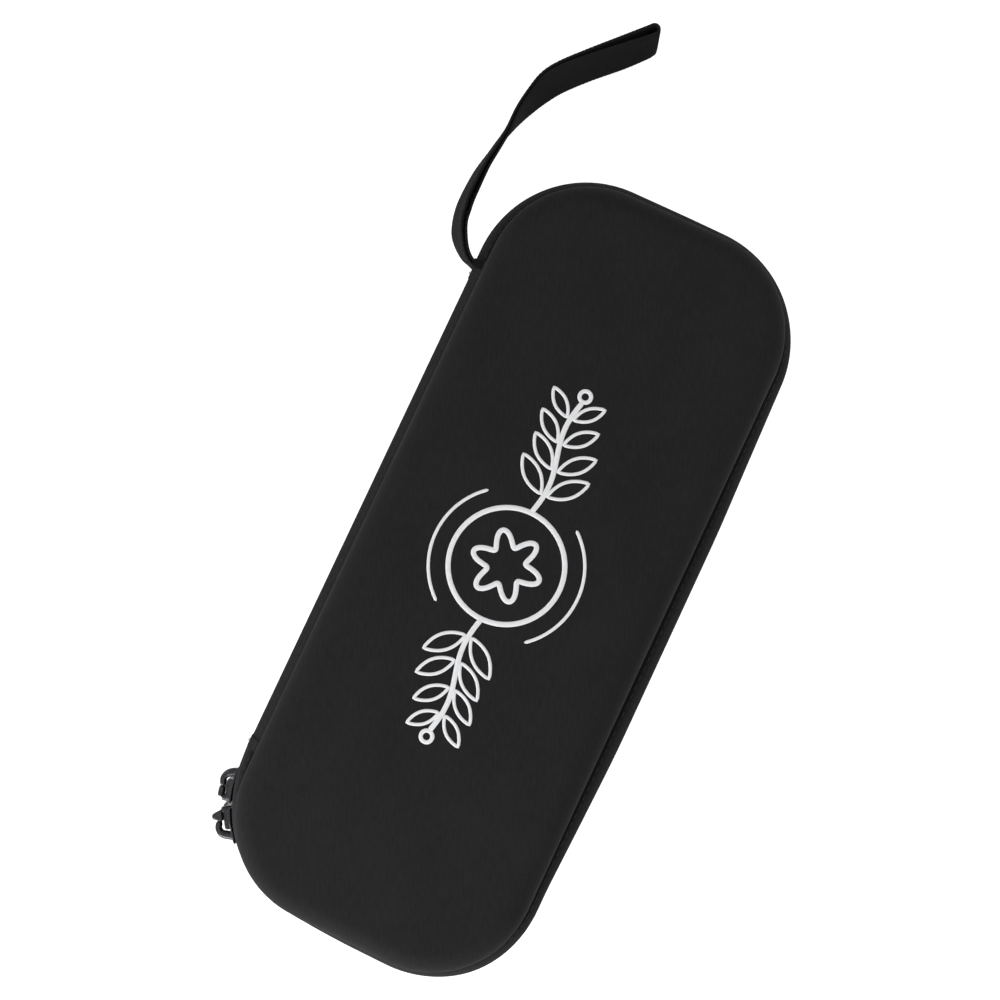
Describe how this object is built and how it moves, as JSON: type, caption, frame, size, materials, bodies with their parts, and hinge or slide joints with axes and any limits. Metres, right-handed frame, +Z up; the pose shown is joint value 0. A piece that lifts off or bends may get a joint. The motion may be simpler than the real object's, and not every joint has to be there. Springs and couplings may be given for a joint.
{
  "type": "zip-round hard case for a stethoscope",
  "caption": "Slim moulded hard case with a domed zip-round lid on a fabric hinge, a doubled webbing wrist strap at one corner, a net lid pocket and a tube strap inside.",
  "frame": {"origin": "centre of the base's flat bottom face, where the closed case rests", "axes": "+Z up through the lid, +Y along the case towards the wrist strap's end, -X is the fabric hinge side"},
  "size_m": [0.1314, 0.3409, 0.048],
  "materials": {
    "cover_cloth": "matt black knitted cover",
    "foam_core": "black closed-cell foam",
    "lining_cloth": "matt black brushed lining",
    "binding_tape": "black ribbed binding tape",
    "zip_tape": "black woven zip tape",
    "zip_coil": "black nylon coil",
    "spine_cloth": "matt black knitted cover",
    "slider_metal": "black glossy paint",
    "webbing": "black twill webbing",
    "pocket_net": "black knitted net",
    "elastic_band": "black ribbed elastic",
    "fastener_nylon": "black hook-and-loop nylon"
  },
  "bodies": {
    "base": {"base_cover": "cover_cloth", "base_core": "foam_core", "base_lining": "lining_cloth", "base_binding": "binding_tape", "zip_tape_base": "zip_tape", "zip_coil_base": "zip_coil", "spine_strip": "spine_cloth", "spine_lining": "lining_cloth", "strap_anchor": "webbing", "tube_strap_left": "webbing", "tube_strap_right": "webbing", "tube_strap_loop_patch": "fastener_nylon", "tube_strap_hook_patch": "fastener_nylon"},
    "lid": {"lid_cover": "cover_cloth", "lid_core": "foam_core", "lid_lining": "lining_cloth", "lid_binding": "binding_tape", "zip_tape_lid": "zip_tape", "zip_coil_lid": "zip_coil", "zip_tape_lid_front": "zip_tape", "zip_coil_lid_front": "zip_coil", "zip_tape_lid_rear": "zip_tape", "zip_coil_lid_rear": "zip_coil", "mesh_pocket_panel": "pocket_net", "mesh_pocket_elastic": "elastic_band", "mesh_pocket_binding": "binding_tape"},
    "slider_a": {"slider_a_body": "slider_metal"},
    "slider_b": {"slider_b_body": "slider_metal"},
    "pull_a": {"slider_a_pull": "slider_metal"},
    "pull_b": {"slider_b_pull": "slider_metal"},
    "strap": {"wrist_strap": "webbing"}
  },
  "joints": [
    {"name": "lid_hinge", "type": "hinge", "parent": "base", "child": "lid", "pos_m": [-0.0575, 0, 0.024], "axis": [0, -1, 0], "range_deg": [0, 180], "deforming": ["spine_strip", "spine_lining", "zip_tape_lid_front", "zip_coil_lid_front", "zip_tape_lid_rear", "zip_coil_lid_rear", "wrist_strap"]},
    {"name": "slider_a_run", "type": "hinge", "parent": "base", "child": "slider_a", "pos_m": [-0.0175, -0.098, 0.024], "axis": [0, 0, 1], "range_deg": [-3.9, 1.5]},
    {"name": "slider_b_run", "type": "hinge", "parent": "base", "child": "slider_b", "pos_m": [-0.0175, -0.098, 0.024], "axis": [0, 0, 1], "range_deg": [0, 47]},
    {"name": "pull_a_swing", "type": "hinge", "parent": "slider_a", "child": "pull_a", "pos_m": [-0.059, -0.1112, 0.024], "axis": [-0.2233, 0.9748, 0], "range_deg": [0, 170]},
    {"name": "pull_b_swing", "type": "hinge", "parent": "slider_b", "child": "pull_b", "pos_m": [-0.05568, -0.11895, 0.024], "axis": [-0.5519, 0.8339, 0], "range_deg": [0, 170]},
    {"name": "strap_lift", "type": "hinge", "parent": "base", "child": "strap", "pos_m": [-0.0592, 0.092, 0.024], "axis": [1, 0, 0], "range_deg": [0, 90]}
  ]
}
